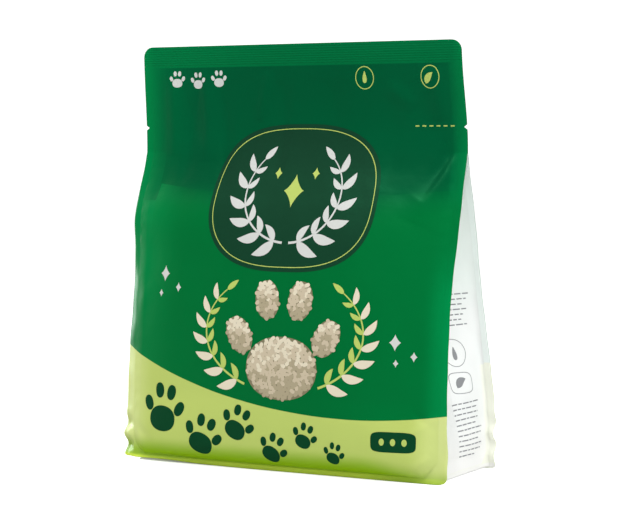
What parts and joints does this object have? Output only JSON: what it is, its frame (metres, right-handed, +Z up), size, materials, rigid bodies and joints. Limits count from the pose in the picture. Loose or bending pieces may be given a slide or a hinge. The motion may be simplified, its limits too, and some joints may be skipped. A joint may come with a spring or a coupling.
{
  "type": "cat litter bag",
  "caption": "Sealed flat-bottomed side-gusset pouch of cat litter, green film over a lime band, with a flat crimped head.",
  "frame": {"origin": "on the floor under the middle of the bag's bounding box", "axes": "+Z up along the bag's height, -Y out of the front panel, +X to the right as the front panel is seen"},
  "size_m": [0.276, 0.1148, 0.321],
  "materials": {
    "film": "satin printed film"
  },
  "bodies": {
    "root": {"bag": "film"}
  },
  "joints": []
}
